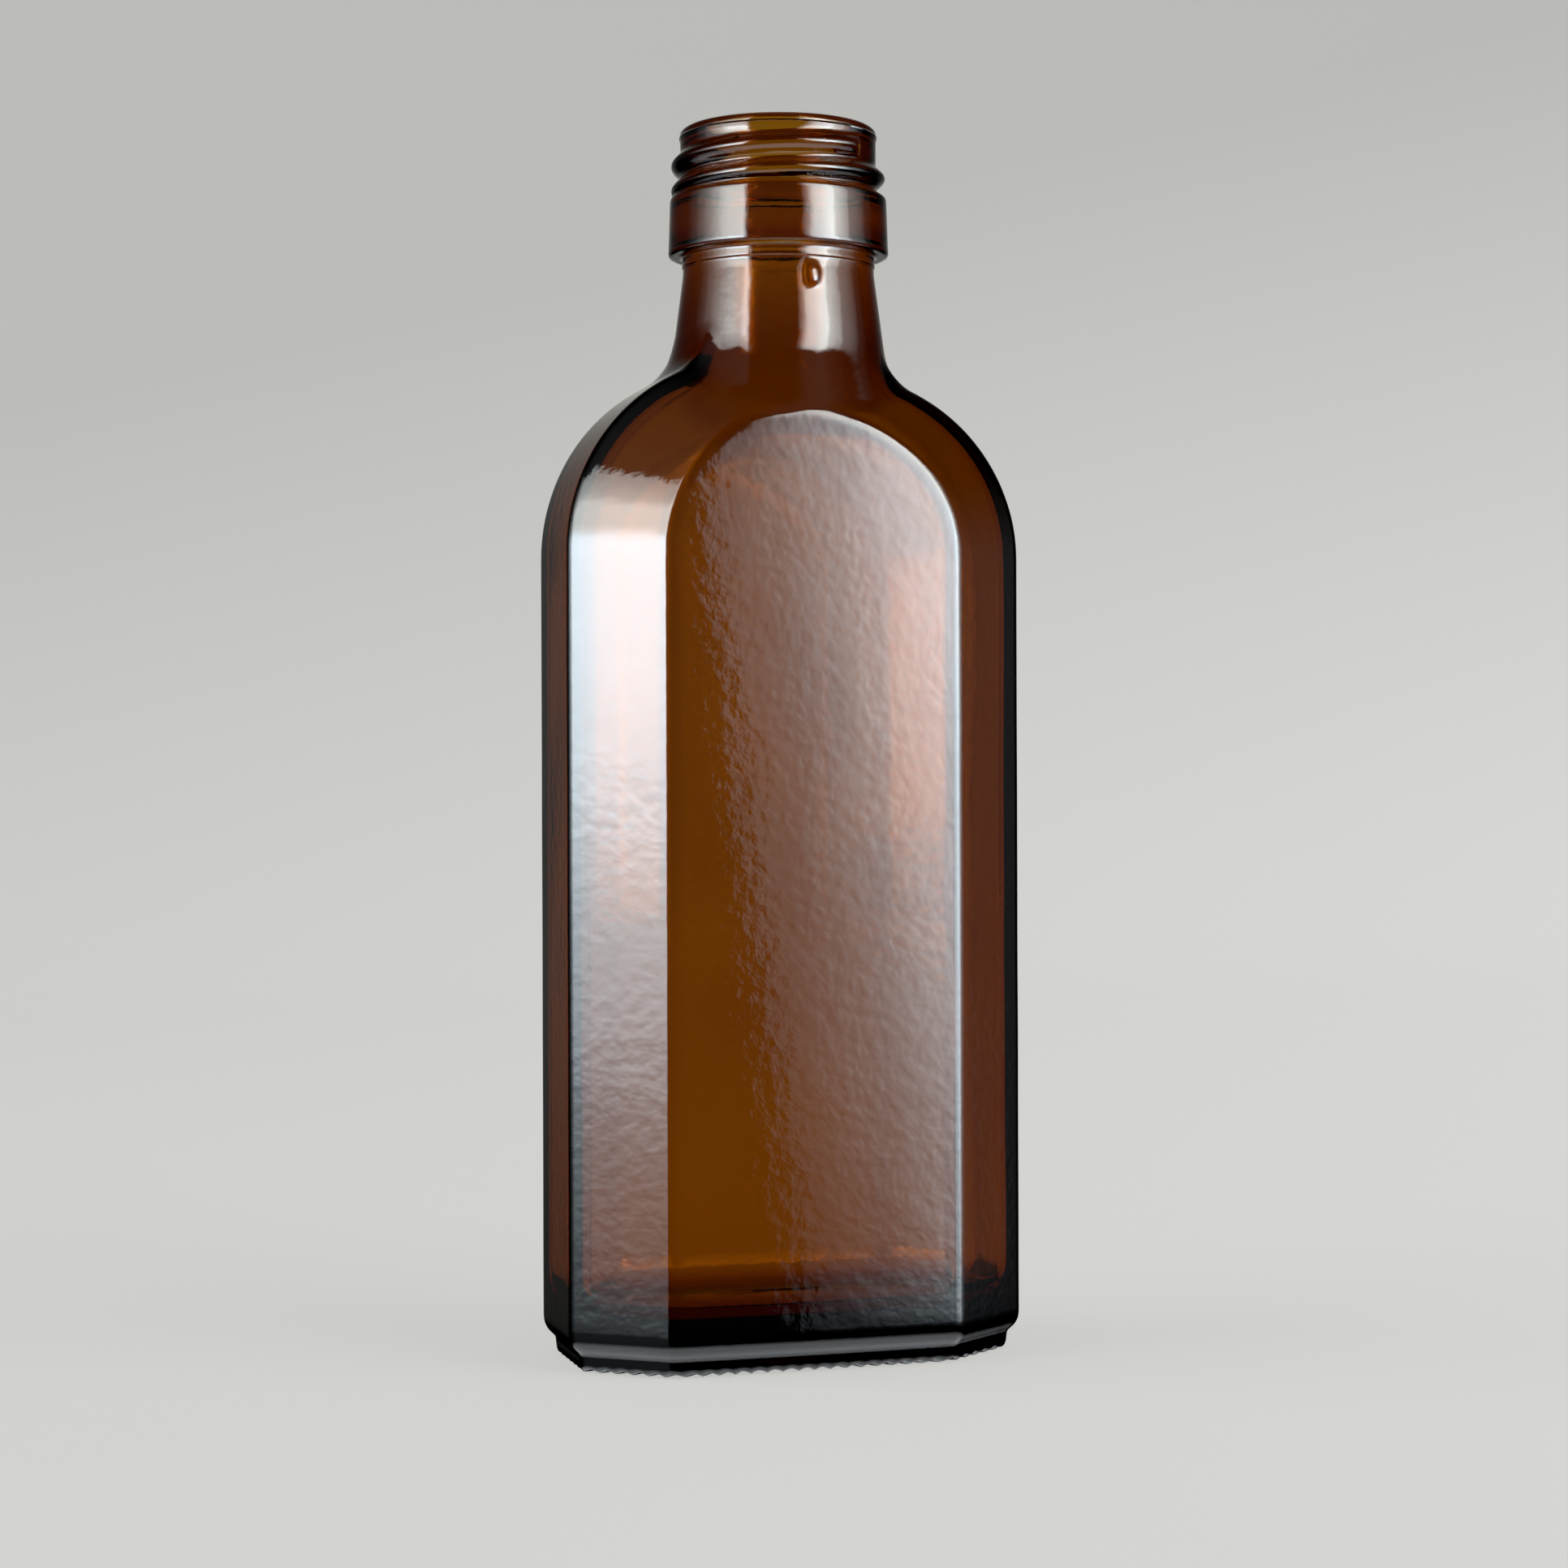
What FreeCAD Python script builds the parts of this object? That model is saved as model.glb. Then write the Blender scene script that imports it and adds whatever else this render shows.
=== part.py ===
import FreeCAD, Part
import math
import os
import Sketcher
from FreeCAD import Vector

# Empty amber glass medicine bottle of the flat, faceted kind: a wide front and back panel with an
# arched top, sloping facets, narrow sides, a shoulder that flares into a round neck, and a 28 mm
# finish with its locking ring.  It is blown in one piece, so it is one solid.
# Origin: middle of the base, on the plane that the bottle stands on.  +Z up, front panel faces -Y.

SIZES = {
    # body, seen from above
    "body_width": 60.2,          # over the two narrow sides
    "body_depth": 33.2,          # over the front and back panels
    "panel_width": 38.3,         # flat front, between its two upright edges
    "side_width": 16.2,          # flat narrow side
    "facet_round": 2.0,          # round where a facet meets a side
    "panel_round": 1.8,          # round where a facet meets a panel
    # shoulder
    "shoulder_level": 103.0,     # where the upright sides end
    "shoulder_round": 24.95,     # quarter round of the side outline
    "facet_overrun": 1.9,        # facets are carried this far past the panel, then cut flat
    "crown_flat": 0.1,           # level bit left at the top of the overrun facets
    "flare_round": 8.5,          # hollow round from shoulder to neck
    # neck and finish
    "neck_width": 24.9,          # just under the ring
    "neck_slope": 7.5,           # degrees, widening downwards
    "neck_height": 39.4,         # from the shoulder's level to the locking ring
    "neck_straight": 2.4,        # even stretch under the ring, before the neck widens
    "neck_sunk": 13.0,           # the neck's cone starts this far above the shoulder's level
    "ring_height": 7.9,
    "ring_width": 28.7,          # at the ring's lower edge
    "ring_draw": 0.25,           # the ring narrows by this, each side, to its top
    "ring_round": 0.8,
    "finish_width": 25.5,        # wall that carries the screw thread
    "finish_height": 16.6,       # from the ring's underside to the lip
    "lip_round": 1.5,
    # inside
    "wall": 2.6,
    "floor_level": 6.6,          # inner floor above the standing plane
    "inner_round": 4.5,          # inner edges between facets and panels
    "inner_facet_round": 4.5,    # inner edges between facets and sides
    "inner_flare": 8.5,
    "floor_round": 3.5,
    "bore_width": 18.6,
    "mouth_bevel": 0.7,
    # base
    "heel_height": 3.4,          # sloping heel band above the standing ring
    "heel_inset": 1.7,
    "standing_width": 3.2,       # width of the ring that the bottle stands on
    "push_up": 2.0,              # how high the underside is pushed up
    "push_slope": 7.0,           # how far in the push-up reaches its full height
    # mark on the neck
    "bead_drop": 4.7,            # middle of the bead below the ring
    "bead_width": 2.2,
    "bead_height": 3.5,
    "bead_proud": 0.45,
}

doc = FreeCAD.newDocument("bottle")
sheet = doc.addObject("Spreadsheet::Sheet", "Sizes")
for line, (word, number) in enumerate(SIZES.items(), start=1):
    sheet.set(f"A{line}", word)
    sheet.set(f"B{line}", str(number))
    sheet.setAlias(f"B{line}", word)
doc.recompute()


class Size:
    """A number together with the sheet expression that gives it."""

    def __init__(self, number, words):
        self.number = number
        self.words = words

    def join(self, sign, other, swap=False):
        other = other if isinstance(other, Size) else Size(float(other), repr(other))
        first, second = (other, self) if swap else (self, other)
        a, b = first.number, second.number
        number = {"+": a + b, "-": a - b, "*": a * b, "/": a / b if sign == "/" else 0.0}[sign]
        return Size(number, f"({first.words} {sign} {second.words})")

    def __add__(self, other):
        return self.join("+", other)

    def __sub__(self, other):
        return self.join("-", other)

    def __rsub__(self, other):
        return self.join("-", other, swap=True)

    def __mul__(self, other):
        return self.join("*", other)

    def __truediv__(self, other):
        return self.join("/", other)

    def __neg__(self):
        return 0 - self

    def root(self):
        return Size(math.sqrt(self.number), f"sqrt({self.words})")

    def tangent(self):
        return Size(math.tan(math.radians(self.number)), f"tan({self.words} * 1 deg)")


def size(word):
    return Size(float(sheet.get(word)), f"{sheet.Name}.{word}")


def bind(thing, field, amount):
    """Tie a property of a feature, or a constraint of a sketch, to the sheet."""
    thing.setExpression(field, amount.words)


# ---------------------------------------------------------------- sketches

def new_sketch(body, name, role, offset):
    """Sketch on an origin plane of its body, moved along the plane's normal."""
    sketch = body.newObject("Sketcher::SketchObject", name)
    plane = next(item for item in body.Origin.OriginFeatures if item.Role == role)
    sketch.AttachmentSupport = [(plane, "")]
    sketch.MapMode = "FlatFace"
    sketch.AttachmentOffset = FreeCAD.Placement(Vector(0, 0, offset.number), FreeCAD.Rotation())
    bind(sketch, "AttachmentOffset.Base.z", offset)
    return sketch


def pin(sketch, edge, end, across, up):
    """Hold one end of an edge at (across, up) from the sketch's origin."""
    for kind, axis, amount in (("DistanceX", -2, across), ("DistanceY", -1, up)):
        if abs(amount.number) < 1e-9:
            sketch.addConstraint(Sketcher.Constraint("PointOnObject", edge, end, axis))
        elif amount.number > 0:
            hold(sketch, amount, kind, -1, 1, edge, end)
        else:
            hold(sketch, -amount, kind, edge, end, -1, 1)


def hold(sketch, amount, kind, *where):
    """Add a constraint whose value comes from the sheet."""
    number = sketch.addConstraint(Sketcher.Constraint(kind, *where, amount.number))
    bind(sketch, f"Constraints[{number}]", amount)


def polygon(body, name, role, offset, corners):
    """Closed outline of straight edges through the given corners."""
    sketch = new_sketch(body, name, role, offset)
    spots = [Vector(across.number, up.number, 0) for across, up in corners]
    count = len(spots)
    for number in range(count):
        sketch.addGeometry(Part.LineSegment(spots[number], spots[(number + 1) % count]))
    for number in range(count):
        sketch.addConstraint(Sketcher.Constraint("Coincident", number, 2, (number + 1) % count, 1))
    for number, (across, up) in enumerate(corners):
        pin(sketch, number, 1, across, up)
    return sketch


def arched(body, name, offset, half, radius, bottom, spring):
    """Upright outline: level bottom, straight sides, and a quarter round at each top corner."""
    sketch = new_sketch(body, name, "XZ_Plane", offset)
    edge, low, mid, crown = half.number, bottom.number, spring.number, spring.number + radius.number
    centre = edge - radius.number
    up = Vector(0, 0, 1)
    right = Part.Circle(Vector(centre, mid, 0), up, radius.number)
    left = Part.Circle(Vector(-centre, mid, 0), up, radius.number)
    shapes = [
        Part.LineSegment(Vector(-edge, low, 0), Vector(edge, low, 0)),
        Part.LineSegment(Vector(edge, low, 0), Vector(edge, mid, 0)),
        Part.ArcOfCircle(right, 0, math.pi / 2),
        Part.LineSegment(Vector(centre, crown, 0), Vector(-centre, crown, 0)),
        Part.ArcOfCircle(left, math.pi / 2, math.pi),
        Part.LineSegment(Vector(-edge, mid, 0), Vector(-edge, low, 0)),
    ]
    for shape in shapes:
        sketch.addGeometry(shape)
    bottom_edge, right_side, right_arc, top, left_arc, left_side = range(6)
    start, end, middle = 1, 2, 3
    for rule in (
        ("Coincident", bottom_edge, end, right_side, start),
        ("Tangent", right_side, end, right_arc, start),
        ("Tangent", right_arc, end, top, start),
        ("Tangent", top, end, left_arc, start),
        ("Tangent", left_arc, end, left_side, start),
        ("Coincident", left_side, end, bottom_edge, start),
        ("Vertical", right_side),
        ("Vertical", left_side),
        ("Horizontal", top),
        ("Equal", right_arc, left_arc),
    ):
        sketch.addConstraint(Sketcher.Constraint(*rule))
    pin(sketch, bottom_edge, start, -half, bottom)
    pin(sketch, bottom_edge, end, half, bottom)
    hold(sketch, radius, "Radius", right_arc)
    hold(sketch, spring, "DistanceY", -1, 1, right_arc, middle)
    return sketch


# ---------------------------------------------------------------- features

def finish(feature):
    """Recompute and stop at once if the feature failed."""
    doc.recompute()
    if not {"Invalid", "Error"}.isdisjoint(feature.State):
        raise RuntimeError(f"{feature.Name} failed")
    return feature


def edges_where(feature, wanted):
    """Names of the edges whose points near both ends and at the middle all pass."""
    names = []
    for number, edge in enumerate(feature.Shape.Edges, start=1):
        first, last = edge.FirstParameter, edge.LastParameter
        spots = [edge.valueAt(first + share * (last - first)) for share in (0.05, 0.5, 0.95)]
        if wanted(spots):
            names.append(f"Edge{number}")
    if not names:
        raise RuntimeError(f"no edges found on {feature.Name}")
    return names


def soften(body, name, base, wanted, radius):
    fillet = body.newObject("PartDesign::Fillet", name)
    fillet.Base = (base, edges_where(base, wanted))
    fillet.Radius = radius.number
    bind(fillet, "Radius", radius)
    return finish(fillet)


def loft(body, kind, name, sketches):
    feature = body.newObject(f"PartDesign::{kind}Loft", name)
    feature.Profile = sketches[0]
    feature.Sections = sketches[1:]
    feature.Ruled = True
    return finish(feature)


def turned(body, name, corners):
    """Round piece about the bottle's axis, from its half profile."""
    sketch = polygon(body, name + "Profile", "XZ_Plane", nothing, corners)
    feature = body.newObject("PartDesign::Revolution", name)
    feature.Profile = sketch
    feature.ReferenceAxis = (sketch, ["V_Axis"])
    feature.Angle = 360
    return finish(feature)


def cut_away(body, name, sketch, along_normal):
    """Cut away all that lies on one side of a sketch that is wider than the bottle."""
    pocket = body.newObject("PartDesign::Pocket", name)
    pocket.Profile = sketch
    pocket.Type = "Length"
    pocket.Length = size("body_width").number
    bind(pocket, "Length", size("body_width"))
    pocket.Reversed = along_normal
    finish(pocket)
    if not pocket.Shape.Volume < pocket.BaseFeature.Shape.Volume:
        raise RuntimeError(f"{name} cut nothing")
    return pocket


def cut_upright(body, name, distance, toward):
    """Cut away what lies further out than a panel; toward is -1 in front and 1 behind."""
    reach = size("body_width")
    low, high = nothing - reach, taper_start
    corners = [(-reach, low), (reach, low), (reach, high), (-reach, high)]
    sheet_sketch = polygon(body, name + "Sheet", "XZ_Plane", distance * -toward, corners)
    return cut_away(body, name, sheet_sketch, toward < 0)


def cut_level(body, name):
    """Cut away what lies below the standing plane."""
    reach = size("body_width")
    corners = [(-reach, -reach), (reach, -reach), (reach, reach), (-reach, reach)]
    return cut_away(body, name, polygon(body, name + "Sheet", "XY_Plane", nothing, corners), False)


# ---------------------------------------------------------------- sizes that follow

half_panel = size("panel_width") / 2
half_width = size("body_width") / 2
half_side = size("side_width") / 2
half_depth = size("body_depth") / 2
facet_across = half_width - half_panel
facet_deep = half_depth - half_side
facet_span = (facet_across * facet_across + facet_deep * facet_deep).root()
ring_low = size("shoulder_level") + size("neck_height")
taper_start = ring_low - size("neck_straight")
neck_root = size("shoulder_level") + size("neck_sunk")
bottle_top = ring_low + size("finish_height")
nothing = Size(0.0, "0")
# A wall of even thickness moves the corners of the eight-sided outline in by these shares of it.
panel_share = facet_deep / (facet_span + facet_across)
side_share = facet_across / (facet_span + facet_deep)


def inset_corner(inset):
    """Half panel, half width, half side and half depth of the outline moved in by inset."""
    return (
        half_panel - inset * panel_share,
        half_width - inset,
        half_side - inset * side_share,
        half_depth - inset,
    )


def octagon(body, name, level, inset):
    panel, width, side, depth = inset_corner(inset)
    corners = [(panel, -depth), (width, -side), (width, side), (panel, depth),
               (-panel, depth), (-width, side), (-width, -side), (-panel, -depth)]
    return polygon(body, name, "XY_Plane", level, corners)


def neck_radius(level, at_taper_start):
    """Radius of the neck's cone at a level below the start of its taper."""
    return at_taper_start + (taper_start - level) * size("neck_slope").tangent()


# ---------------------------------------------------------------- the moulded form

def faceted_form(body, name, inset, bottom, edge_round):
    """Body and shoulder: four arched outlines joined by flat and conical facets.

    The facets run on past the front and back panels, so that the neck's flare has room to meet
    them, and are cut flat at the panels later.
    """
    panel, width, side, depth = inset_corner(inset)
    overrun = size("facet_overrun")
    reach = depth + overrun
    lean = (width - panel) / (depth - side)
    outer_half = panel - overrun * lean
    outer_round = outer_half - size("crown_flat") / 2
    spring = size("shoulder_level")
    shoulder = size("shoulder_round") - inset
    outlines = [
        arched(body, name + "Behind", -reach, outer_half, outer_round, bottom, spring),
        arched(body, name + "SideBack", -side, width, shoulder, bottom, spring),
        arched(body, name + "SideFront", side, width, shoulder, bottom, spring),
        arched(body, name + "Ahead", reach, outer_half, outer_round, bottom, spring),
    ]
    facets = loft(body, "Additive", name + "Facets", outlines)

    def on_side_outline(spots):
        return (all(abs(abs(spot.y) - side.number) < 1e-3 for spot in spots)
                and not all(abs(spot.z - bottom.number) < 1e-3 for spot in spots))

    return soften(body, name + "SideRound", facets, on_side_outline, edge_round)


def flare(body, name, neck, at_taper_start, radius):
    """Hollow round where the neck's cone runs into the shoulder."""
    top = taper_start.number

    def on_cone(spots):
        return (all(abs(math.hypot(spot.x, spot.y) - neck_radius(
                        Size(spot.z, ""), at_taper_start).number) < 0.01 for spot in spots)
                and all(spot.z < top - 1 for spot in spots)
                and any(abs(spot.y) > 0.01 for spot in spots))

    return soften(body, name, neck, on_cone, radius)


def flatten_panels(body, name, depth, bottom, edge_round):
    """Cut the front and back panels flat and round their arched edges."""
    cut_upright(body, name + "Front", depth, -1)
    back = cut_upright(body, name + "Back", depth, 1)

    def on_panel_edge(spots):
        return (all(abs(abs(spot.y) - depth.number) < 1e-3 for spot in spots)
                and not all(abs(spot.z - bottom.number) < 1e-3 for spot in spots))

    return soften(body, name + "Round", back, on_panel_edge, edge_round)


def level_ring(level, radius):
    """Test for the circular edges of a turned piece at a level and radius."""
    def wanted(spots):
        return all(abs(spot.z - level.number) < 1e-3
                   and abs(math.hypot(spot.x, spot.y) - radius.number) < 1e-3 for spot in spots)
    return wanted


def make_outside():
    body = doc.addObject("PartDesign::Body", "Outside")
    below = nothing - size("heel_height")
    faceted_form(body, "Body", nothing, below, size("facet_round"))

    neck = size("neck_width") / 2
    ring_high = ring_low + size("ring_height")
    ring = size("ring_width") / 2
    ring_top = ring - size("ring_draw")
    wall = size("finish_width") / 2
    turning = turned(body, "Neck", [
        (nothing, neck_root),
        (neck_radius(neck_root, neck), neck_root),
        (neck, taper_start),
        (neck, ring_low),
        (ring, ring_low),
        (ring_top, ring_high),
        (wall, ring_high),
        (wall, bottle_top),
        (nothing, bottle_top),
    ])
    flare(body, "NeckFlare", turning, neck, size("flare_round"))
    panels = flatten_panels(body, "Panel", half_depth, below, size("panel_round"))
    ring_rounds = soften(body, "RingRound", panels, level_ring(ring_high, ring_top), size("ring_round"))
    soften(body, "LipRound", ring_rounds, level_ring(bottle_top, wall), size("lip_round"))

    standing = cut_level(body, "StandingPlane")
    heel = body.newObject("PartDesign::Chamfer", "Heel")
    heel.Base = (standing, edges_where(standing, lambda spots: all(abs(spot.z) < 1e-3 for spot in spots)))
    heel.ChamferType = "Two distances"
    heel.FlipDirection = True
    heel.Size = size("heel_inset").number
    heel.Size2 = size("heel_height").number
    bind(heel, "Size", size("heel_inset"))
    bind(heel, "Size2", size("heel_height"))
    finish(heel)

    rim = size("heel_inset") + size("standing_width")
    loft(body, "Subtractive", "PushUp", [
        octagon(body, "PushUpEdge", nothing, rim),
        octagon(body, "PushUpCrown", size("push_up"), rim + size("push_slope")),
    ])
    return body


def make_bead():
    """Oval bead on the front of the neck, half sunk in it."""
    bead = doc.addObject("Part::Ellipsoid", "Bead")
    middle = ring_low - size("bead_drop")
    sink = neck_radius(middle, size("neck_width") / 2)
    for field, amount in (
        ("Radius1", size("bead_height") / 2),
        ("Radius2", size("bead_width") / 2),
        ("Radius3", size("bead_proud")),
    ):
        setattr(bead, field, amount.number)
        bind(bead, field, amount)
    bead.Placement = FreeCAD.Placement(Vector(0, -sink.number, middle.number), FreeCAD.Rotation())
    bind(bead, "Placement.Base.y", -sink)
    bind(bead, "Placement.Base.z", middle)
    return finish(bead)


# ---------------------------------------------------------------- inside

def make_cavity():
    """Room inside: the body's form moved in by the wall, and the bore up through the neck."""
    body = doc.addObject("PartDesign::Body", "Cavity")
    wall = size("wall")
    floor = size("floor_level")
    faceted_form(body, "Room", wall, floor, size("inner_facet_round"))

    bore = size("bore_width") / 2
    bevel = size("mouth_bevel")
    turning = turned(body, "Bore", [
        (nothing, neck_root),
        (neck_radius(neck_root, bore), neck_root),
        (bore, taper_start),
        (bore, bottle_top - bevel),
        (bore + bevel, bottle_top),
        (nothing, bottle_top),
    ])
    flare(body, "BoreFlare", turning, bore, size("inner_flare"))
    depth = half_depth - wall
    panels = flatten_panels(body, "RoomPanel", depth, floor, size("inner_round"))

    def on_floor(spots):
        return all(abs(spot.z - floor.number) < 1e-3 for spot in spots)

    soften(body, "FloorRound", panels, on_floor, size("floor_round"))
    return body


# ---------------------------------------------------------------- the bottle

outside = make_outside()
bead = make_bead()
cavity = make_cavity()

moulded = doc.addObject("Part::Fuse", "Moulded")
moulded.Base = outside
moulded.Tool = bead
finish(moulded)

bottle = doc.addObject("Part::Cut", "Bottle")
bottle.Label = "bottle"
bottle.Base = moulded
bottle.Tool = cavity
finish(bottle)

for item in doc.Objects:
    if not {"Invalid", "Error"}.isdisjoint(item.State):
        raise RuntimeError(f"{item.Name} failed")
if bottle.Shape.isNull() or not bottle.Shape.isValid() or len(bottle.Shape.Solids) != 1:
    raise RuntimeError("the bottle isn't one sound solid")
if bottle.Shape.Volume < 0.99 * (moulded.Shape.Volume - cavity.Shape.Volume):
    raise RuntimeError("the room inside wasn't cut out as drawn")

os.makedirs("parts", exist_ok=True)
bottle.Shape.exportStep(os.path.join("parts", bottle.Label + ".step"))
print(f"bottle: glass {bottle.Shape.Volume / 1000:.1f} ml, room {cavity.Shape.Volume / 1000:.1f} ml")
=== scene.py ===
"""Amber glass medicine bottle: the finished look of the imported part.

The bottle is one closed skin of glass. Its rows of points start in the middle of the underside, go up the
outside, over the lip and down the inside, and end in the middle of the floor.
"""
import math

import bpy
import numpy as np
from mathutils import Euler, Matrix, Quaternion, Vector


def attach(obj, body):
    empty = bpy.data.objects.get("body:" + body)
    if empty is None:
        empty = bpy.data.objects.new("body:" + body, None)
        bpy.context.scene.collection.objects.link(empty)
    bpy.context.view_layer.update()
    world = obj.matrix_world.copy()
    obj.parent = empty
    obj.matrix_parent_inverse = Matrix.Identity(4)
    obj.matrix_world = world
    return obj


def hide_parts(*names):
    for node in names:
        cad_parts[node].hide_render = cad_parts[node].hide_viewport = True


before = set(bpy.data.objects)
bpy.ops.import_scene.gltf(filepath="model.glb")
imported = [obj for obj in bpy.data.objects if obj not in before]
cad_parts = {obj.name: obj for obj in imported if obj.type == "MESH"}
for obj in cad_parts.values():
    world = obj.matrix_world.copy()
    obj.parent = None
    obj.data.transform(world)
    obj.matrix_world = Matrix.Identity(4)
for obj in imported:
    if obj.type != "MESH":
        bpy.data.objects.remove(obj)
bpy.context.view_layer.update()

MM = 0.001

# ---------------------------------------------------------------- sizes, in millimetres
BODY_HALF = 30.1             # half the width over the narrow sides
DEPTH_HALF = 16.6            # half the depth over the panels
SIDE_HALF = 8.1              # half the width of a narrow side's flat
SPRING = 103.0               # level where the upright sides end and the shoulder starts
SHOULDER = 24.95             # round of the shoulder over the narrow sides
OVERRUN_DEEP = 18.5          # depth, just outside the panels, of the outline that the facets run out to
OVERRUN_CORE = -0.11         # distance from the middle at which that outline's round is centred
OVERRUN_ROUND = 16.08        # that round
DROOP = 0.05                 # share by which the shoulder's round is lower on the right
LIFT = 0.02                  # and higher on the left
UNEVEN_OVER = 14.0           # distance from the middle at which both are full
FACET_ROUND = 1.5            # round between a facet and a narrow side
PANEL_ROUND = 1.1            # round between a facet and a panel
ARCH_ROUND = 0.9             # how much rounder that edge is over the arch
ARCH_FROM, ARCH_OVER = 110.0, 12.0       # level where that starts, and over how far it comes in
PANEL_HALF = 19.0            # half the width of a panel
PANEL_CROWN = 0.35           # how far a panel bulges between its upright edges
FLARE = 8.5                  # hollow round from shoulder to neck, over the narrow sides
FLARE_LESS_FACING = 0.65     # share by which it is less over the panels
FLARE_LESS_RIGHT = 0.12      # and on the right

NECK = 12.45                 # neck radius just under the ring
NECK_TOP = 140.0             # level where the neck starts to widen
NECK_LEAN = math.radians(7.5)
NECK_FOOT = 130.6            # level where the neck starts to spread towards the shoulder
NECK_SPREAD = 17.0           # hollow round of that spread
NECK_SLOPE = math.radians(16.5)          # and how far it gets
NECK_ROOT = 116.0            # level where the neck ends, inside the shoulder
RING_LOW = 142.4             # locking ring: its underside and its top
RING_HIGH = 150.3
TOP = 159.0
FINISH = 12.75               # radius of the wall that carries the thread

THREAD_PITCH = 3.25
THREAD_LEVEL = 151.86        # level of the ridge's middle as it passes the front
THREAD_FROM, THREAD_TO = -0.40, 1.104    # where it starts and ends, in turns from there
THREAD_FADE = 0.035          # turns over which each end runs out
THREAD_HALF = 1.4            # half the width of the ridge
THREAD_HEIGHT = 1.2
BEAD_AT = (0.75, 138.5)      # oval bead on the front of the neck: sideways place and level
BEAD_HALF = (1.1, 1.7)       # half its width and height
BEAD_HEIGHT = 0.55

WALL = 2.6
BORE = 9.3                   # bore radius at the mouth
BORE_FROM, BORE_TO = 157.6, 131.0        # levels between which the bore is round
NECK_BORE = 9.0              # bore radius that the neck's inside widens from
BARREL = 1.7                 # how much the bore widens behind the locking ring
BARREL_AT = 147.6            # level where it is widest
BARREL_HALF = 8.0            # and how far from there it ends
INNER_ROUND = 4.5            # round of the edges inside, and of the room's lower edge
FLOOR = 6.6                  # level of the floor inside
PUSH_UP = 2.0                # height of the underside's push-up at its edge

OUTER_RIPPLE = 0.006         # unevenness of the glass outside and inside
INNER_RIPPLE = 0.05
CALM_OVER = 20.0             # how far below the neck's top it takes to come in
COLUMNS = 340                # points round the bottle, a multiple of the scallops
SCALLOPS = 68
SCALLOP_RISE = 0.34          # how high the scallops arch over the standing edge


# ---------------------------------------------------------------- form of the mould
# A surface is a pair: distance outside it, and the direction in which that grows.

def pair(value, x, y, z):
    return value, np.stack(np.broadcast_arrays(x, y, z), axis=-1)


def rise_above_spring(x, z):
    """Height above the upright sides, a little uneven as the shoulder is."""
    aside = np.clip(np.abs(x) / UNEVEN_OVER, 0, 1)
    aside = aside * aside * (3 - 2 * aside)
    return np.maximum(z - SPRING, 0) * (1 + np.where(x > 0, DROOP, -LIFT) * aside)


def side_face(x, y, z, inset):
    """Narrow side running up into the shoulder's round."""
    over = np.maximum(np.abs(x) - (BODY_HALF - SHOULDER), 1e-6)
    rise = rise_above_spring(x, z)
    reach = np.hypot(over, rise)
    return pair(reach - SHOULDER + inset, np.sign(x) * over / reach, 0 * x, rise / reach)


def facet_face(x, y, z, inset):
    """Sloping facet between a side and a panel, arched over the shoulder."""
    depth = OVERRUN_DEEP - SIDE_HALF
    side_core = BODY_HALF - SHOULDER
    core_slope = (OVERRUN_CORE - side_core) / depth
    radius_slope = (OVERRUN_ROUND - SHOULDER) / depth
    share = (np.abs(y) - SIDE_HALF) / depth
    core = side_core + (OVERRUN_CORE - side_core) * share
    radius = SHOULDER + (OVERRUN_ROUND - SHOULDER) * share
    over = np.maximum(np.abs(x) - core, 1e-6)
    rise = rise_above_spring(x, z)
    reach = np.hypot(over, rise)
    gx = np.sign(x) * over / reach
    gy = -np.sign(y) * (over / reach * core_slope + radius_slope)
    gz = rise / reach
    steep = np.sqrt(gx * gx + gy * gy + gz * gz)
    return pair((reach - radius) / steep + inset, gx / steep, gy / steep, gz / steep)


def panel_face(x, y, z, inset):
    """Front or back panel, bulging a little between its upright edges."""
    crown = PANEL_CROWN / PANEL_HALF ** 2
    return pair(np.abs(y) - DEPTH_HALF + crown * x * x + inset, 2 * crown * x, np.sign(y), 0 * x)


def neck_face(x, y, z, radius):
    """Neck: a leaning cone that spreads below its foot in a hollow round.

    radius is the neck's at the level where it starts to widen.
    """
    foot = radius + (NECK_TOP - NECK_FOOT) * math.tan(NECK_LEAN)
    around = np.maximum(np.hypot(x, y), 1e-6)
    inward = foot + NECK_SPREAD * math.cos(NECK_LEAN) - around
    downward = NECK_FOOT + NECK_SPREAD * math.sin(NECK_LEAN) - z
    lean = np.clip(np.arctan2(downward, inward), NECK_LEAN, NECK_SLOPE)
    sunk = 2 * np.maximum(NECK_ROOT - z, 0)
    value = NECK_SPREAD - inward * np.cos(lean) - downward * np.sin(lean) + sunk
    side = np.cos(lean) / around
    return pair(value, x * side, y * side, np.sin(lean))


def rolled(first, second, radius):
    """Inside of both surfaces, with a ball of that radius rolled along the edge between them."""
    (a, along_a), (b, along_b) = first, second
    cosine = np.clip((along_a * along_b).sum(-1), -0.999, 0.999)
    a_out, b_out = a + radius, b + radius
    share_a, share_b = a_out - cosine * b_out, b_out - cosine * a_out
    spread = 1 - cosine * cosine
    length = np.sqrt(np.maximum(a_out * share_a + b_out * share_b, 0) / spread)
    ball = (share_a > 0) & (share_b > 0)
    value = np.where(ball, length - radius, np.maximum(a, b))
    round_way = (share_a[..., None] * along_a + share_b[..., None] * along_b)
    round_way = round_way / np.maximum(spread * length, 1e-9)[..., None]
    flat_way = np.where((a > b)[..., None], along_a, along_b)
    return value, np.where(ball[..., None], round_way, flat_way)


def inverse(surface):
    return -surface[0], -surface[1]


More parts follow.
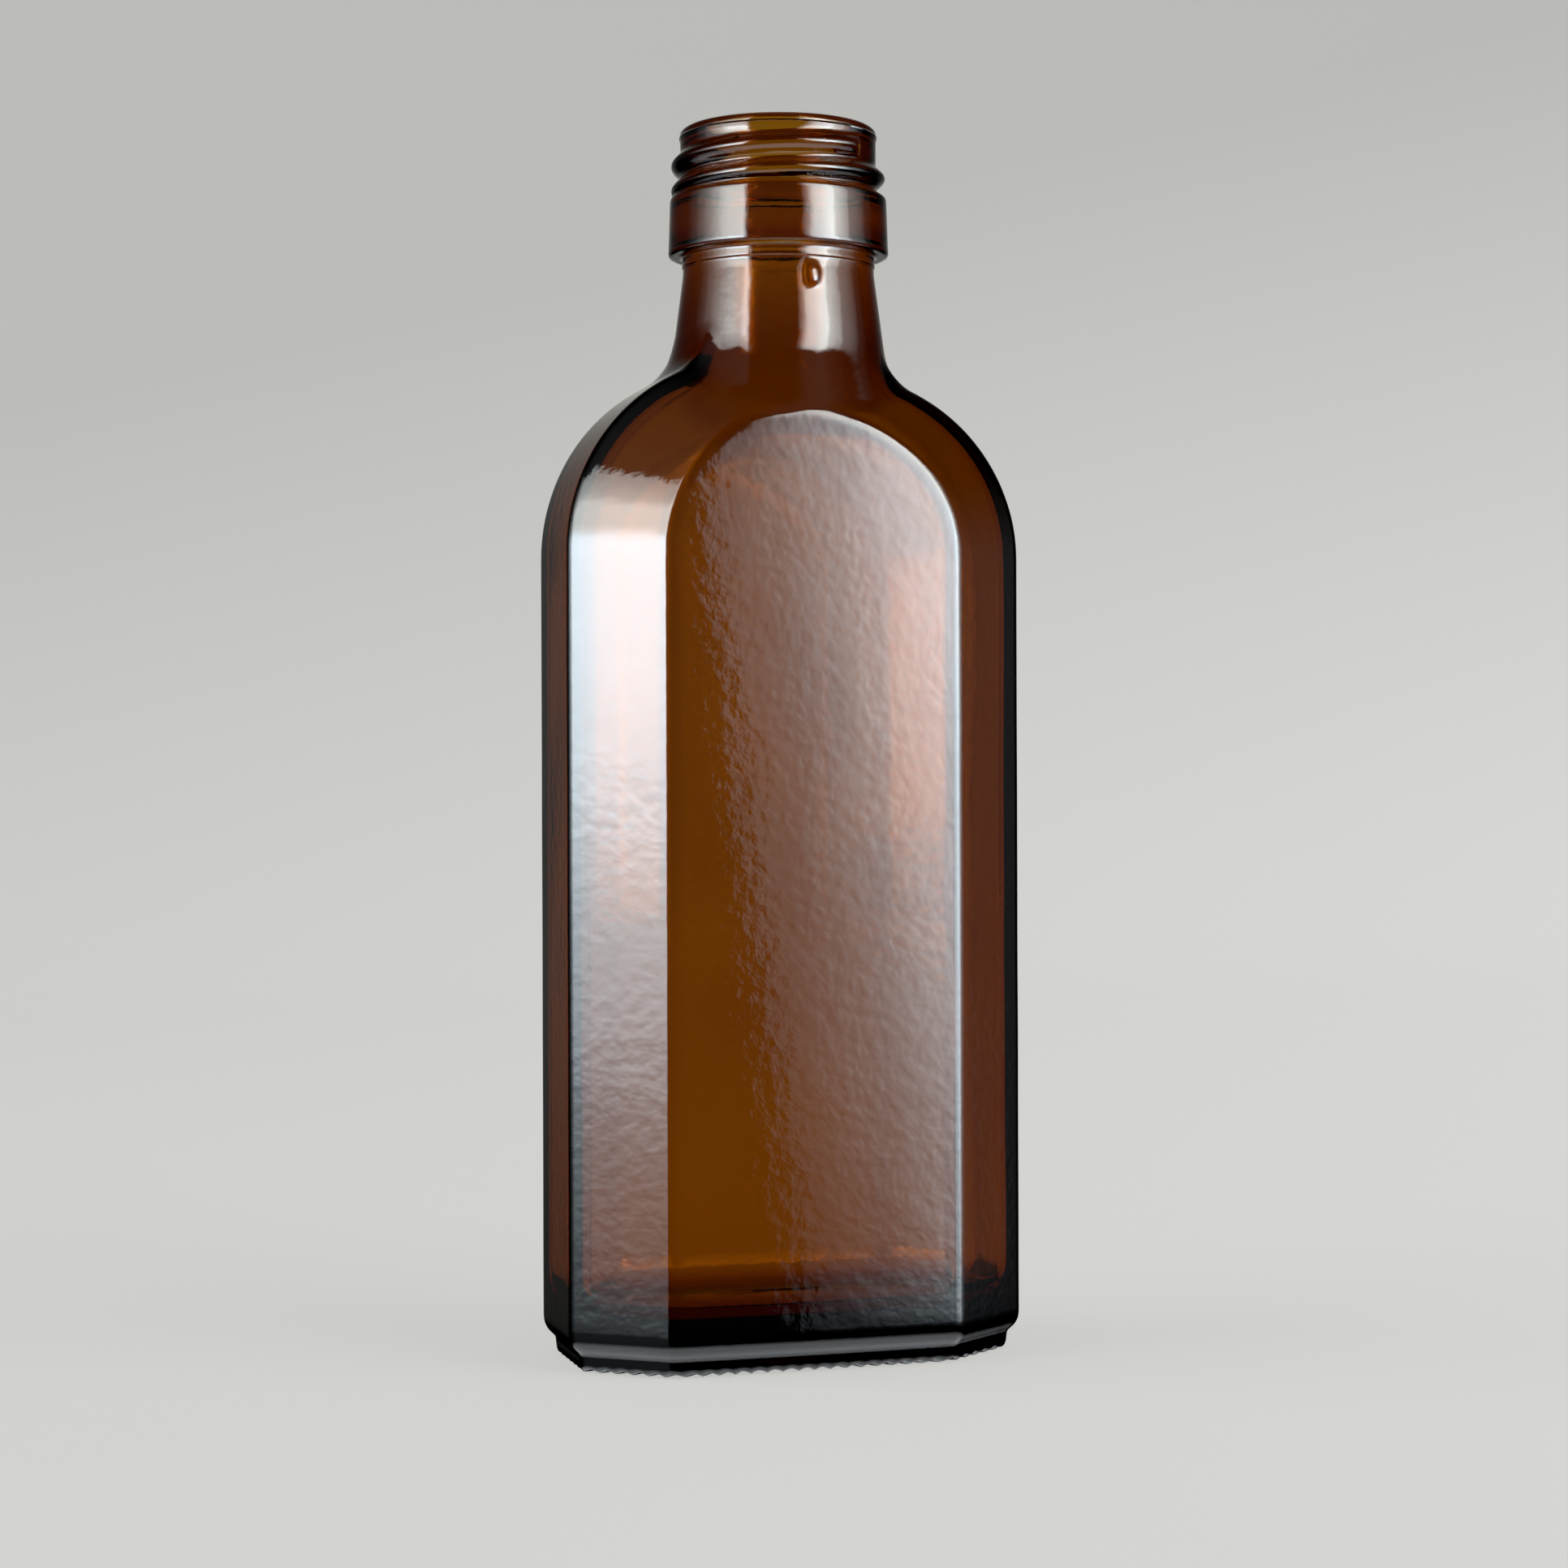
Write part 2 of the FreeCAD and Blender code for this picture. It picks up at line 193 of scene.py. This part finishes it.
def joined(first, second, radius):
    """Inside of either surface, with a hollow round of that radius between them."""
    return inverse(rolled(inverse(first), inverse(second), radius))


def form(x, y, z, inset, neck, facet_round, panel_round):
    """Distance outside the body, shoulder and neck as one surface."""
    body = rolled(side_face(x, y, z, inset), facet_face(x, y, z, inset), facet_round)
    facing = y * y / np.maximum(x * x + y * y, 1e-6)
    hollow = FLARE * (1 - FLARE_LESS_FACING * facing)
    hollow = hollow * (1 - FLARE_LESS_RIGHT * np.clip(x / UNEVEN_OVER, 0, 1))
    flared = joined(body, neck_face(x, y, z, neck), hollow)
    edge_round = panel_round + ARCH_ROUND * np.clip((z - ARCH_FROM) / ARCH_OVER, 0, 1)
    return rolled(flared, panel_face(x, y, z, inset), edge_round)[0]


def reach_out(angle, z, inset, neck, facet_round, panel_round):
    """Radius at which the form is met, looking out from the axis at a level.

    Angles count from the front towards the right.
    """
    nearest, furthest, halvings = 1.0, 45.0, 28
    across, deep = np.sin(angle), -np.cos(angle)
    low, high = np.full_like(z, nearest), np.full_like(z, furthest)
    for step in range(halvings):
        middle = (low + high) / 2
        outside = form(across * middle, deep * middle, z, inset, neck, facet_round, panel_round) > 0
        high = np.where(outside, middle, high)
        low = np.where(outside, low, middle)
    return (low + high) / 2


# ---------------------------------------------------------------- hand of the glass

def ripple(seed, waves, length, x, y, z):
    """Smooth seeded unevenness of unit size, its waves about as long as length."""
    draw = np.random.RandomState(seed)
    total = 0 * x
    for wave in range(waves):
        way = draw.normal(size=3)
        way *= 2 * math.pi / length * draw.uniform(0.6, 1.5) / np.linalg.norm(way)
        total = total + np.sin(way[0] * x + way[1] * y + way[2] * z + draw.uniform(0, 2 * math.pi))
    return total * math.sqrt(2 / waves)


def thread(angle, z):
    """Height of the screw thread's ridge above the wall."""
    total = 0 * z
    turn_here = (angle / (2 * math.pi)) % 1.0
    for whole in (-1, 0, 1):
        turn = turn_here + whole
        middle = THREAD_LEVEL + THREAD_PITCH * turn
        fade = np.clip(np.minimum(turn - THREAD_FROM, THREAD_TO - turn) / THREAD_FADE, 0, 1)
        away = np.abs(z - middle) / THREAD_HALF
        ridge = np.cos(np.clip(away, 0, 1) * math.pi / 2)
        total = np.maximum(total, THREAD_HEIGHT * ridge * np.sqrt(np.clip(fade * (2 - fade), 0, 1)))
    return total


def bead(x, z):
    """Height of the oval bead above the neck."""
    away = ((x - BEAD_AT[0]) / BEAD_HALF[0]) ** 2 + ((z - BEAD_AT[1]) / BEAD_HALF[1]) ** 2
    return BEAD_HEIGHT * np.sqrt(np.clip(1 - away, 0, 1))


def bore_radius(level):
    """Radius of the bore, which widens behind the ring and again down the neck."""
    down = np.clip((BORE_FROM - level) / (BORE_FROM - BORE_TO), 0, 1)
    foot = NECK_BORE + (NECK_TOP - BORE_TO) * math.tan(NECK_LEAN)
    wide = np.cos(np.clip((level - BARREL_AT) / BARREL_HALF, -1, 1) * math.pi / 2) ** 2
    return BORE + (foot - BORE) * down ** 1.3 + BARREL * wide


# ---------------------------------------------------------------- rows of the wall

def even(start, end, step):
    """Levels from start up or down to, and not including, end."""
    count = max(1, round(abs(end - start) / step))
    return [start + (end - start) * number / count for number in range(count)]


def softened(corners, step):
    """Line through (radius, level, round) corners with each corner rounded, in short steps."""
    spots = [np.array(corner[:2], float) for corner in corners]
    line = [spots[0]]
    for number in range(1, len(corners) - 1):
        before, here, after = spots[number - 1:number + 2]
        into = (before - here) / np.linalg.norm(before - here)
        out = (after - here) / np.linalg.norm(after - here)
        half = math.acos(np.clip(into @ out, -1, 1)) / 2
        back = corners[number][2] / math.tan(half)
        start, end = here + into * back, here + out * back
        count = max(2, int(corners[number][2] * (math.pi - 2 * half) / step) + 1)
        for bit in range(count + 1):
            share = bit / count
            line.append((1 - share) ** 2 * start + 2 * share * (1 - share) * here + share ** 2 * end)
    line.append(spots[-1])
    full = [line[0]]
    for spot in line[1:]:
        gap = np.linalg.norm(spot - full[-1])
        if gap < 1e-4:
            continue
        count = max(1, math.ceil(gap / step))
        begin = full[-1]
        full.extend(begin + (spot - begin) * (bit + 1) / count for bit in range(count))
    return full


def column_angles():
    """Directions round the axis, evenly spaced along the body's outline."""
    samples, mid_height = 16001, 50.0
    fine = np.linspace(0, 2 * math.pi, samples)
    radius = reach_out(fine, np.full_like(fine, mid_height), 0.0, NECK, FACET_ROUND, PANEL_ROUND)
    x, y = radius * np.sin(fine), radius * np.cos(fine)
    run = np.concatenate([[0], np.cumsum(np.hypot(np.diff(x), np.diff(y)))])
    return np.interp(np.linspace(0, run[-1], COLUMNS + 1)[:-1], run, fine)


ANGLES = column_angles()
COLUMN = np.arange(COLUMNS)


def ring_of(radius, level):
    """One row of points, from a radius for every column and a level for one or all."""
    level = np.broadcast_to(level, radius.shape)
    return np.stack([radius * np.sin(ANGLES), -radius * np.cos(ANGLES), level], axis=-1)


def form_radii(levels, insets, neck, facet_round, panel_round):
    """Radius of the form, and the level, for every row and column."""
    z = np.repeat(np.array(levels, float)[:, None], COLUMNS, axis=1)
    inset = np.repeat(np.array(insets, float)[:, None], COLUMNS, axis=1)
    angle = np.repeat(ANGLES[None, :], len(levels), axis=0)
    return reach_out(angle, z, inset, neck, facet_round, panel_round), z


def foot_rows():
    """Underside, standing edge and heel, as rows from the middle outwards and up."""
    # (inset from the body's outline, level) over the push-up and the standing ring
    under = [(11.9, PUSH_UP), (10.0, 1.6), (8.0, 1.05), (6.4, 0.55), (5.6, 0.3), (4.9, 0.1), (4.2, 0.02)]
    # (inset, level, share of the scallops) over the scalloped edge, the band and the rounded heel
    edge = [(3.4, 0.0, 0.5), (2.9, 0.0, 0.9), (2.5, 0.0, 1.0), (2.15, 0.03, 1.0), (1.9, 0.14, 0.9),
            (1.72, 0.34, 0.7), (1.62, 0.6, 0.45), (1.55, 0.95, 0.2), (1.5, 1.35, 0.05), (1.47, 1.7, 0),
            (1.44, 2.0, 0), (1.36, 2.25, 0), (1.16, 2.5, 0), (0.9, 2.75, 0), (0.62, 3.05, 0),
            (0.38, 3.4, 0), (0.2, 3.8, 0), (0.08, 4.25, 0), (0.02, 4.8, 0)]
    profile = [(inset, level, 0) for inset, level in under] + edge
    upright = 50.0           # any level at which the sides are upright
    radius, z = form_radii([upright] * len(profile), [spot[0] for spot in profile],
                           NECK, FACET_ROUND, PANEL_ROUND)
    arch = np.abs(np.sin(math.pi * COLUMN * SCALLOPS / COLUMNS))
    rows = [ring_of(radius[0] * share, PUSH_UP + 0.25 * (1 - share)) for share in (0.25, 0.5, 0.75)]
    for line, (inset, level, scallop) in zip(radius, profile):
        rows.append(ring_of(line, level + SCALLOP_RISE * scallop * arch))
    return rows


def wall_rows():
    """Outside of the body, shoulder and neck, as rows going up."""
    levels = (even(5.5, 12, 1.6) + even(12, 96, 4.2) + even(96, 104, 1.3) + even(104, 112, 0.8)
              + even(112, 130, 0.53) + even(130, 135.5, 0.9) + even(135.5, 140.2, 0.43))
    radius, z = form_radii(levels, [0.0] * len(levels), NECK, FACET_ROUND, PANEL_ROUND)
    x, y = radius * np.sin(ANGLES), -radius * np.cos(ANGLES)
    calm = np.clip((NECK_TOP - z) / CALM_OVER, 0, 1)
    radius = radius - calm * OUTER_RIPPLE * (1 + ripple(3, 24, 17, x, y, z))
    front = np.cos(ANGLES) > 0.5
    radius = radius + np.where(front, bead(x, z), 0)
    return [ring_of(line, level) for line, level in zip(radius, z)]


def finish_rows():
    """Step under the ring, locking ring, wall with its thread, and lip, as rows going up."""
    turned = softened([
        (NECK, 140.2, 0), (NECK, 140.75, 0.15), (NECK + 0.12, 140.95, 0.1), (NECK + 0.1, 141.3, 0.2),
        (NECK, RING_LOW, 0.35), (14.35, RING_LOW, 0.35), (14.1, RING_HIGH - 0.5, 0.5),
        (FINISH + 0.25, RING_HIGH + 0.25, 0.2), (FINISH, RING_HIGH + 0.9, 0.4),
        (FINISH, 157.2, 1.2), (12.86, 157.9, 0.4), (12.86, TOP, 1.3), (BORE + 0.9, TOP, 0.0)], 0.39)
    rows = []
    for radius, level in turned[1:-1]:
        spread = np.full(COLUMNS, radius)
        here = np.full(COLUMNS, level)
        if RING_HIGH < level < TOP - 0.5 and radius < FINISH + 0.55:
            spread = np.maximum(spread, FINISH + thread(ANGLES, here))
        rows.append(ring_of(spread, here))
    return rows


def inner_rows():
    """Rows of the inside, from the lip down to the middle of the floor."""
    lip = softened([(BORE + 1.0, TOP, 0), (BORE + 0.1, TOP, 0.35), (BORE, TOP - 1.4, 0)], 0.25)
    bore = [(bore_radius(level), level) for level in even(BORE_FROM, BORE_TO, 1.2)]
    rows = [ring_of(np.full(COLUMNS, radius), level) for radius, level in lip + bore]

    levels = (even(BORE_TO, 110, 1.15) + even(110, 98, 2.4) + even(98, 16, 5.5)
              + even(16, 11.4, 1.5))
    radius, z = form_radii(levels, [WALL] * len(levels), NECK_BORE, INNER_ROUND, INNER_ROUND)
    x, y = radius * np.sin(ANGLES), -radius * np.cos(ANGLES)
    calm = np.clip((BORE_TO - z) / CALM_OVER, 0, 1) * np.clip((z - 4) / 12, 0, 1)
    radius = radius + calm * INNER_RIPPLE * ripple(11, 18, 24, x, y, z)
    rows.extend(ring_of(line, level) for line, level in zip(radius, z))

    turn = [math.radians(share) for share in (0, 12, 24, 36, 48, 60, 70, 80)]
    floor = [(WALL + INNER_ROUND * (1 - math.cos(t)), FLOOR + INNER_ROUND * (1 - math.sin(t)))
             for t in turn]
    flat = FLOOR + 0.05
    floor += [(WALL + inset, flat) for inset in (4.6, 5.8, 7.6, 9.6)]
    upright = 50.0
    radius, z = form_radii([upright] * len(floor), [inset for inset, level in floor],
                           NECK_BORE, INNER_ROUND, INNER_ROUND)
    rows.extend(ring_of(line, level) for line, (inset, level) in zip(radius, floor))
    rows.extend(ring_of(radius[-1] * share, flat) for share in (0.75, 0.5, 0.25))
    return rows


# ---------------------------------------------------------------- meshes

def nothing_selected():
    if bpy.context.object and bpy.context.object.mode != "OBJECT":
        bpy.ops.object.mode_set(mode="OBJECT")
    bpy.ops.object.select_all(action="DESELECT")


def skin(name, rows, end_low, end_high):
    """Closed wall through rows of points, each end gathered to one point.

    A flat grid is rolled up into the wall: its columns go round the bottle, and its rows follow each
    other. The two open ends are small rings on the axis, at the levels end_low and end_high.
    """
    nothing_selected()
    count = len(rows)
    bpy.ops.mesh.primitive_grid_add(x_subdivisions=COLUMNS, y_subdivisions=count - 1, size=1)
    piece = bpy.context.object
    piece.name = piece.data.name = name
    flat = np.empty(len(piece.data.vertices) * 3)
    piece.data.vertices.foreach_get("co", flat)
    flat = flat.reshape(-1, 3)
    column = np.rint((flat[:, 0] + 0.5) * COLUMNS).astype(int) % COLUMNS
    row = np.rint((flat[:, 1] + 0.5) * (count - 1)).astype(int)
    placed = np.array(rows)[row, column] * MM
    piece.data.vertices.foreach_set("co", placed.ravel())
    bpy.ops.object.mode_set(mode="EDIT")
    bpy.ops.mesh.select_mode(type="EDGE")
    bpy.ops.mesh.select_all(action="SELECT")
    bpy.ops.mesh.remove_doubles(threshold=1e-7)
    end_size = 0.012         # the rings at the ends are within this of their middle
    for level in (end_low, end_high):
        bpy.ops.mesh.select_all(action="DESELECT")
        bpy.ops.mesh.select_non_manifold()
        bpy.ops.object.mode_set(mode="OBJECT")
        for edge in piece.data.edges:
            if edge.select:
                points = [piece.data.vertices[corner].co for corner in edge.vertices]
                if min((point - Vector((0, 0, level * MM))).length for point in points) > end_size:
                    edge.select = False
        for corner in piece.data.vertices:
            corner.select = False
        bpy.ops.object.mode_set(mode="EDIT")
        bpy.ops.mesh.extrude_edges_move()
        bpy.ops.mesh.merge(type="CENTER")
    bpy.ops.mesh.select_all(action="SELECT")
    bpy.ops.mesh.normals_make_consistent(inside=False)
    bpy.ops.object.mode_set(mode="OBJECT")
    bpy.ops.object.shade_smooth()
    return piece


rows = foot_rows() + wall_rows() + finish_rows() + inner_rows()
bottle = skin("glass_bottle", rows, rows[0][0][2], rows[-1][0][2])
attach(bottle, "root")
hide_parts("bottle")


# ---------------------------------------------------------------- materials

class Wire:
    """A node's output that can be used in sums."""

    def __init__(self, nodes, socket):
        self.nodes, self.socket = nodes, socket

    def calc(self, kind, *others, swap=False):
        values = [self, *others]
        if swap:
            values.reverse()
        return self.nodes.node("ShaderNodeMath", {"operation": kind}, dict(enumerate(values)))

    def __add__(self, other):
        return self.calc("ADD", other)

    def __sub__(self, other):
        return self.calc("SUBTRACT", other)

    def __rsub__(self, other):
        return self.calc("SUBTRACT", other, swap=True)

    def __mul__(self, other):
        return self.calc("MULTIPLY", other)

    def __truediv__(self, other):
        return self.calc("DIVIDE", other)

    def __pow__(self, other):
        return self.calc("POWER", other)

    def __neg__(self):
        return self.calc("MULTIPLY", -1)

    def __abs__(self):
        return self.calc("ABSOLUTE")

    __radd__ = __add__
    __rmul__ = __mul__

    def share(self, start, over):
        """How far the value is past start, as a share of over, from 0 to 1."""
        return ((self - start) / over).calc("MAXIMUM", 0).calc("MINIMUM", 1)


class Nodes:
    """The nodes of a material or a world under construction."""

    def __init__(self, owner):
        owner.use_nodes = True
        self.tree = owner.node_tree
        self.tree.nodes.clear()

    def node(self, kind, settings=None, inputs=None, output=0):
        made = self.tree.nodes.new(kind)
        for word, value in (settings or {}).items():
            setattr(made, word, value)
        for word, value in (inputs or {}).items():
            socket = made.inputs[word]
            if isinstance(value, Wire):
                self.tree.links.new(value.socket, socket)
            else:
                socket.default_value = value
        return Wire(self, made.outputs[output]) if made.outputs else None

    def ramp(self, value, low, high, pairs):
        """Colour ramp over a value between low and high, from (value, colour) pairs."""
        made = self.node("ShaderNodeValToRGB", None, {"Fac": (value - low) * (1 / (high - low))})
        elements = made.socket.node.color_ramp.elements
        placed = [((spot - low) / (high - low), (*tint, 1.0)) for spot, tint in pairs]
        for element, (place, tint) in zip(elements, (placed[0], placed[-1])):
            element.position = place
            element.color = tint
        for place, tint in placed[1:-1]:
            elements.new(place).color = tint
        return made


def amber_glass():
    """Brown glass, clear and smooth, with a faint orange-peel skin."""
    material = bpy.data.materials.new("amber_glass")
    made = Nodes(material)
    place = made.node("ShaderNodeTexCoord", output="Object")
    peel = made.node("ShaderNodeTexNoise", {"noise_dimensions": "3D"},
                     {"Vector": place, "Scale": 650.0, "Detail": 2.0, "Roughness": 0.5})
    dimple = made.node("ShaderNodeTexNoise", {"noise_dimensions": "3D"},
                       {"Vector": place, "Scale": 120.0, "Detail": 1.0, "Roughness": 0.4})
    bump = made.node("ShaderNodeBump", None, {
        "Height": peel * 0.85 + dimple, "Strength": 0.5, "Distance": 0.000045})
    shell = made.node("ShaderNodeBsdfPrincipled", None, {
        "Base Color": (1.0, 1.0, 1.0, 1.0),
        "Roughness": 0.01,
        "IOR": 1.52,
        "Transmission Weight": 1.0,
        "Normal": bump,
    })
    body = made.node("ShaderNodeVolumeAbsorption", None, {
        "Color": (0.8235, 0.671, 0.06, 1.0),
        "Density": 1700.0,
    })
    made.node("ShaderNodeOutputMaterial", None, {"Surface": shell, "Volume": body})
    return material


bottle.data.materials.clear()
bottle.data.materials.append(amber_glass())


def pale_paper():
    """Floor and backdrop: pale grey paper with painted light. Seen straight on, in the glass and through
    it, it is mostly a painted glow of its tone, which is painted lighter below and to the right. Only a
    share of it is lit, and that share shades it near the bottle.
    """
    material = bpy.data.materials.new("pale_paper")
    made = Nodes(material)
    place = made.node("ShaderNodeTexCoord", output="Object")
    across = made.node("ShaderNodeSeparateXYZ", None, {"Vector": place}, output="X")
    up = made.node("ShaderNodeSeparateXYZ", None, {"Vector": place}, output="Z")
    # painted light: the paper's tone is graded lighter lower down and to the right
    painted_light_slope = (across * 0.15 - up * 0.5 + 0.624).calc("MAXIMUM", 0.5)
    tone = made.node("ShaderNodeCombineColor", None, {
        "Red": painted_light_slope, "Green": painted_light_slope, "Blue": painted_light_slope * 0.965})
    paper = made.node("ShaderNodeBsdfDiffuse", None, {"Color": tone})
    # painted glow: the paper shines in its painted tone, though it is no lamp
    glow = made.node("ShaderNodeEmission", None, {"Color": tone, "Strength": 1.0})
    seen = made.node("ShaderNodeLightPath", output="Is Camera Ray")
    glossy = made.node("ShaderNodeLightPath", output="Is Glossy Ray")
    through = made.node("ShaderNodeLightPath", output="Is Transmission Ray")
    direct = seen.calc("MAXIMUM", glossy).calc("MAXIMUM", through)
    # camera, glossy and transmission rays see mostly the painted glow, with a small share of the lit
    # paper
    shown = made.node("ShaderNodeMixShader", None, {0: direct * 0.8, 1: paper, 2: glow})
    made.node("ShaderNodeOutputMaterial", None, {"Surface": shown})
    return material


def sweep():
    """Floor that curves up into a backdrop behind the bottle, in metres."""
    width = 3.2
    front, back = -1.4, 1.1
    bend, steps = 0.5, 24
    height = 2.4
    sunk = 0.0001            # the floor lies this much under the bottle
    nothing_selected()
    bpy.ops.mesh.primitive_plane_add(size=1)
    paper = bpy.context.object
    paper.name = "stage_sweep"
    for corner, (x, y) in zip(paper.data.vertices, ((-1, 0), (1, 0), (-1, 1), (1, 1))):
        corner.co = (x * width / 2, front if y == 0 else back - bend, -sunk)
    bpy.ops.object.mode_set(mode="EDIT")
    bpy.ops.mesh.select_mode(type="EDGE")
    last = Vector((0, back - bend, 0))
    for number in range(1, steps + 2):
        bpy.ops.mesh.select_all(action="DESELECT")
        bpy.ops.object.mode_set(mode="OBJECT")
        far_edge = Vector((0, last.y, last.z - sunk))
        for edge in paper.data.edges:
            ends = [paper.data.vertices[corner].co for corner in edge.vertices]
            edge.select = all((Vector((0, end.y, end.z)) - far_edge).length < 1e-5 for end in ends)
        bpy.ops.object.mode_set(mode="EDIT")
        turn = math.radians(90) * min(number, steps) / steps
        target = Vector((0, back - bend + bend * math.sin(turn), bend * (1 - math.cos(turn))))
        if number > steps:
            target = Vector((0, back, height))
        bpy.ops.mesh.extrude_edges_move(TRANSFORM_OT_translate={"value": tuple(target - last)})
        last = target
    bpy.ops.object.mode_set(mode="OBJECT")
    bpy.ops.object.shade_smooth()
    paper.data.materials.append(pale_paper())
    paper.visible_glossy = False


sweep()


# ---------------------------------------------------------------- light and camera

VIEW_TURN = -16.6            # bearing of the camera from the front, in degrees


def softbox(name, azimuth):
    """Square area lamp on a circle round the bottle, facing it. It does not show in the glass."""
    distance, height, size, power = 0.9, 0.55, 0.9, 10
    aim = Vector((0, 0, 0.08))
    lamp = bpy.data.lights.new(name, "AREA")
    lamp.shape = "RECTANGLE"
    lamp.size = lamp.size_y = size
    lamp.energy = power
    lamp.color = (1.0, 1.0, 1.0)
    thing = bpy.data.objects.new(name, lamp)
    turn = math.radians(azimuth)
    spot = Vector((math.sin(turn) * distance, -math.cos(turn) * distance, height))
    thing.location = spot
    thing.rotation_mode = "QUATERNION"
    thing.rotation_quaternion = (spot - aim).to_track_quat("Z", "Y")
    thing.visible_glossy = False
    thing.visible_transmission = False
    bpy.context.scene.collection.objects.link(thing)


softbox("softbox_left", VIEW_TURN - 76)
softbox("softbox_right", VIEW_TURN + 64)

# The room's soft lights, as the glass mirrors them. Their brightness by the bearing from the camera's
# side, in degrees.
BEARINGS = ((-180, 0.0), (-112, 0.05), (-107, 0.15), (-97, 0.7), (-86, 2.7), (-76, 6.6),
            (-67, 12.3), (-59, 19.5), (-54, 22.0), (-37, 22.8), (-33.5, 4.0), (-31.5, 0.1), (0, 0.03),
            (30.7, 0.05), (30.9, 1.45), (32.0, 1.7), (33.9, 3.1), (36.3, 5.6), (39, 10.5), (42, 15.2),
            (50, 18.5), (58, 23.0), (64, 25.5), (67, 16.0), (75, 11.0), (82, 7.0), (84, 3.5),
            (108, 0.2), (120, 0.0), (180, 0.0))
BRIGHTEST = 26.0
# The share of it that is left at each height above the horizon, in degrees, on either side.
LEFT_HEIGHTS = ((-90, 0.0), (-13, 0.01), (-9.8, 0.05), (-9.0, 0.075), (-7.6, 0.118), (-6.1, 0.185),
                (-4.6, 0.33), (-3.1, 0.44), (-1.6, 0.55), (-0.15, 0.75), (2, 0.91), (5, 1.0),
                (8, 1.0), (13.8, 0.62), (23, 0.62), (27, 0.38), (31, 0.30), (34.5, 0.25),
                (36.5, 0.01), (90, 0.0))
RIGHT_HEIGHTS = ((-90, 0.0), (-16, 0.0), (-12.5, 0.04), (-10, 0.24), (-8.5, 0.4), (-7.1, 0.48),
                 (-5.6, 0.6), (-4.1, 0.68), (-2.7, 0.74), (-1.2, 0.8), (0.3, 0.85), (1.8, 0.95),
                 (3.2, 0.97), (5, 1.0), (14, 0.88), (23, 0.78), (31, 0.7), (33.5, 0.5), (36, 0.01),
                 (90, 0.0))
COOL, WARM = (0.82, 0.93, 1.0), (0.85, 0.895, 0.87)      # tint near the horizon, and well above it
WARM_FROM = 8


def room_light():
    """World: a plain grey room, and the soft lights for rays that the glass reflects."""
    world = bpy.data.worlds.new("room")
    room = Nodes(world)

    def glow(tint, strength):
        return room.node("ShaderNodeBackground", None, {"Color": tint, "Strength": strength})

    def both(first, second):
        return room.node("ShaderNodeAddShader", None, {0: first, 1: second})

    way = room.node("ShaderNodeTexCoord", output="Generated")
    way = room.node("ShaderNodeVectorRotate", {"rotation_type": "Z_AXIS"},
                    {"Vector": way, "Angle": math.radians(-VIEW_TURN)})
    x, y, z = (room.node("ShaderNodeSeparateXYZ", None, {"Vector": way}, output=axis) for axis in "XYZ")
    bearing = x.calc("ARCTAN2", -y) * (180 / math.pi)
    height = z.calc("ARCSINE") * (180 / math.pi)

    # the right-hand light leans, and both end lower far out
    on_right = bearing.calc("GREATER_THAN", 0)
    slanted = bearing + height * 0.3 * on_right
    level = room.ramp(slanted, -180, 180, [(spot, [share / BRIGHTEST] * 3) for spot, share in BEARINGS])
    steep = height.share(8, 15)
    left_height = height + (-bearing).share(38.6, 7.4) * 5 * steep
    right_height = height + bearing.share(50, 16) * 5 * steep
    sides = []
    for table, place in ((LEFT_HEIGHTS, left_height), (RIGHT_HEIGHTS, right_height)):
        tinted = [(spot, [share * tone for tone in (WARM if spot > WARM_FROM else COOL)])
                  for spot, share in table]
        sides.append(glow(room.ramp(place, -90, 90, tinted), level * BRIGHTEST))
    lights = room.node("ShaderNodeMixShader", None, {0: on_right, 1: sides[0], 2: sides[1]})

    # light from the ground, and a faint wall behind the bottle
    ground = glow((0.9, 0.96, 1.0, 1), (-height).share(32, 16) * 1.7)
    behind = abs(bearing).share(118, 62) ** 3.0
    wall = glow((1.0, 1.0, 0.94, 1), behind * (85 - height).share(0, 30) * height.share(-14, 10) * 0.55)

    # through the glass, what lies far to the sides is the plain room
    plain = glow((0.55, 0.55, 0.54, 1), 1.0)
    glossy = room.node("ShaderNodeLightPath", output="Is Glossy Ray")
    through = room.node("ShaderNodeLightPath", output="Is Transmission Ray")
    lit = glossy * (1 - through * abs(bearing).share(58, 8))
    seen = room.node("ShaderNodeMixShader", None, {0: lit, 1: plain, 2: both(lights, both(ground, wall))})
    room.node("ShaderNodeOutputWorld", None, {"Surface": seen})
    return world


bpy.context.scene.world = room_light()


def set_camera():
    """Camera at the bottle's middle height, a little to the left of the front."""
    distance, height, roll = 0.4095, 0.0755, 0.2
    lens = bpy.data.cameras.new("camera")
    lens.lens = 72.1
    lens.sensor_width = 36.0
    lens.clip_start = 0.01
    lens.shift_x = 0.0025
    lens.shift_y = -0.0083
    camera = bpy.data.objects.new("camera", lens)
    turn = math.radians(VIEW_TURN)
    camera.location = (math.sin(turn) * distance, -math.cos(turn) * distance, height)
    camera.rotation_mode = "QUATERNION"
    camera.rotation_quaternion = (Euler((math.radians(90), 0, turn)).to_quaternion()
                                  @ Quaternion((0, 0, 1), math.radians(-roll)))
    bpy.context.scene.collection.objects.link(camera)
    bpy.context.scene.camera = camera


set_camera()
bpy.context.scene.view_settings.view_transform = "Standard"
